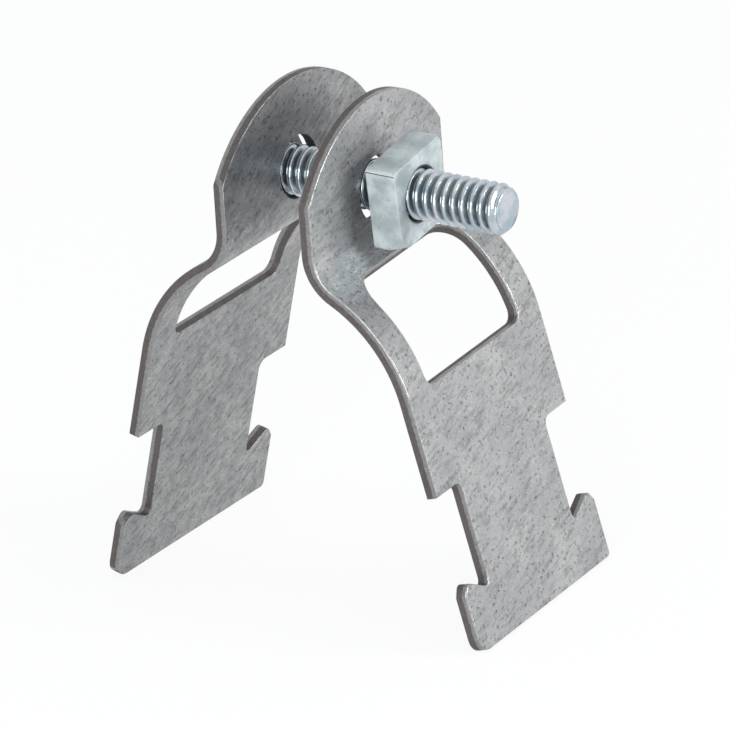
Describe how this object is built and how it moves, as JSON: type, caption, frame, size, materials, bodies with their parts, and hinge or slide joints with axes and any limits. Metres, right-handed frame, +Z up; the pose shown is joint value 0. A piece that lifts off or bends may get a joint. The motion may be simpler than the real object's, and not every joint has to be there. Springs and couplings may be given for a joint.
{
  "type": "strut pipe clamp",
  "caption": "Two-piece bent sheet-steel pipe clamp for strut channel, with hooked feet, drawn together over a pipe by a screw and square nut.",
  "frame": {"origin": "on the surface that the feet stand on, under the middle of the clamp's bounding box", "axes": "+X along the screw from its head to its tail and along the strut channel, +Y along the pipe, +Z up from the channel"},
  "size_m": [0.0534, 0.0324, 0.0636],
  "materials": {
    "galvanised_sheet": "zinc coated sheet steel, mottled grey, with raw sheared edges",
    "zinc_screw": "bright zinc plated steel with a faint blue tint",
    "zinc_nut": "zinc plated steel, satin, with a faint blue tint"
  },
  "bodies": {
    "nut_side_strap": {"nut_side_strap": "galvanised_sheet"},
    "nut": {"square_nut": "zinc_nut"},
    "head_side_strap": {"head_side_strap": "galvanised_sheet"},
    "screw": {"screw": "zinc_screw"}
  },
  "joints": [
    {"name": "strap_swing", "type": "hinge", "parent": "nut_side_strap", "child": "nut", "pos_m": [0, -0.00036, 0.05164], "axis": [1, 0, 0], "continuous": true},
    {"name": "strap_draw", "type": "slide", "parent": "nut", "child": "head_side_strap", "axis": [1, 0, 0], "range_m": [-0.00762, 0.00508]},
    {"name": "screw_turn", "type": "hinge", "parent": "head_side_strap", "child": "screw", "pos_m": [0, -0.00036, 0.05164], "axis": [1, 0, 0], "range_deg": [-2161, 1441]}
  ],
  "couplings": [
    {"joint": "screw_turn", "follows": "strap_draw", "rad_per_m": 4947.4}
  ]
}
